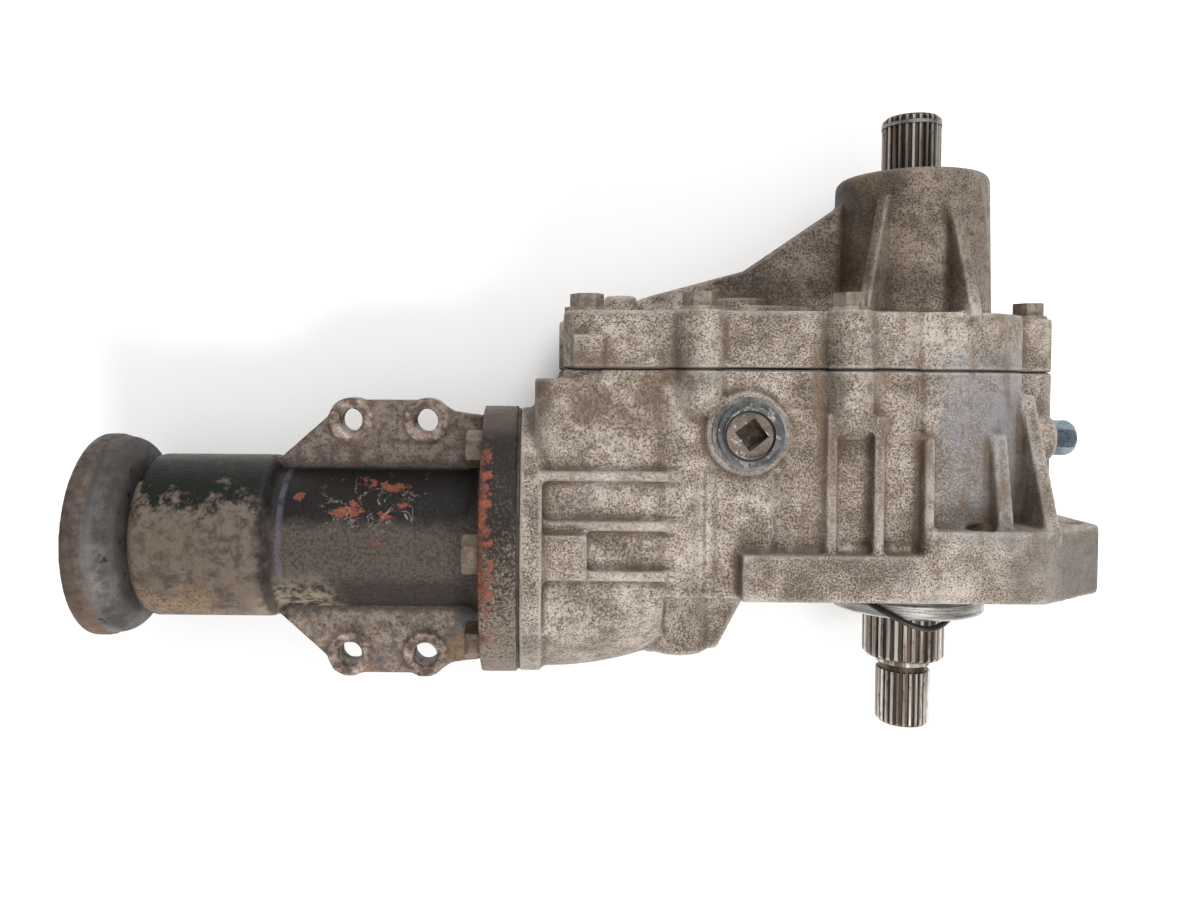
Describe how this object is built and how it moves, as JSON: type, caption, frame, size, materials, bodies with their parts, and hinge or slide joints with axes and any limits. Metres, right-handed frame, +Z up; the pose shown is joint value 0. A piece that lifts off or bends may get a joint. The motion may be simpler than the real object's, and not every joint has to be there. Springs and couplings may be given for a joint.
{
  "type": "transfer case",
  "caption": "Angle-drive transfer case with splined input shafts, geared aluminium housing and a side output flange on a cast-iron pinion retainer.",
  "frame": {"origin": "centre of the transaxle spigot at the mounting face, on the through-shaft axis", "axes": "+Y along the through shaft, away from the transaxle; the output pinion points to -X; +Z up from the surface that the unit lies on, its back"},
  "size_m": [0.428, 0.2685, 0.1186],
  "materials": {
    "cast_aluminium": "sand-cast, stained and speckled with oxide",
    "machined_aluminium": "bright turned",
    "painted_iron": "black paint worn to rust",
    "rusty_iron": "bare forging, dull brown rust",
    "rusty_steel": "dull brown",
    "dark_steel": "blackened",
    "dull_zinc": "dull zinc under dirt",
    "bright_zinc": "clean zinc plating",
    "ground_steel": "bright, lightly oiled",
    "gear_steel": "case-hardened",
    "bearing_steel": "ground",
    "bronze": "sintered",
    "black_rubber": "matt"
  },
  "bodies": {
    "housing": {"main_case": "cast_aluminium", "cover": "cast_aluminium", "pinion_retainer": "painted_iron", "retainer_shim": "bearing_steel", "retainer_bolts": "rusty_steel", "cover_bolts": "dull_zinc", "cover_dowels": "bearing_steel", "filler_plug": "dark_steel", "filler_plug_washer": "dark_steel", "drain_plug": "bright_zinc", "seal_carrier": "machined_aluminium", "spigot_o_ring": "black_rubber", "input_oil_seal": "black_rubber", "tower_oil_seal": "black_rubber", "pinion_oil_seal": "black_rubber", "input_lower_bearing_outer": "bearing_steel", "input_upper_bearing_outer": "bearing_steel", "tower_bearing_outer": "bearing_steel", "counter_lower_bearing_outer": "bearing_steel", "counter_upper_bearing_outer": "bearing_steel", "pinion_head_bearing_cup": "bearing_steel", "pinion_tail_bearing_cup": "bearing_steel"},
    "input_sleeve": {"input_shaft": "ground_steel", "input_gear": "gear_steel", "through_bush": "bronze", "input_lower_bearing_inner": "bearing_steel", "input_upper_bearing_inner": "bearing_steel"},
    "through_line": {"through_shaft": "ground_steel", "through_snap_ring": "dark_steel", "tower_bearing_inner": "bearing_steel"},
    "counter_line": {"countershaft": "gear_steel", "counter_gear": "gear_steel", "ring_gear": "gear_steel", "counter_lower_bearing_inner": "bearing_steel", "counter_upper_bearing_inner": "bearing_steel"},
    "pinion_line": {"pinion_shaft": "gear_steel", "pinion_head_bearing_cone": "bearing_steel", "pinion_tail_bearing_cone": "bearing_steel", "companion_flange": "rusty_iron", "pinion_nut": "rusty_steel"}
  },
  "joints": [
    {"name": "counter_spin", "type": "hinge", "parent": "housing", "child": "counter_line", "pos_m": [-0.0675, 0.05, 0], "axis": [0, 1, 0], "continuous": true},
    {"name": "input_spin", "type": "hinge", "parent": "housing", "child": "input_sleeve", "pos_m": [0, 0.05, 0], "axis": [0, 1, 0], "continuous": true},
    {"name": "pinion_spin", "type": "hinge", "parent": "housing", "child": "pinion_line", "pos_m": [-0.2, 0.0165, 0], "axis": [1, 0, 0], "continuous": true},
    {"name": "through_spin", "type": "hinge", "parent": "housing", "child": "through_line", "pos_m": [0, 0.1, 0], "axis": [0, 1, 0], "continuous": true}
  ],
  "couplings": [
    {"joint": "input_spin", "follows": "counter_spin", "ratio": -0.86207},
    {"joint": "pinion_spin", "follows": "counter_spin", "ratio": 2.3846}
  ]
}
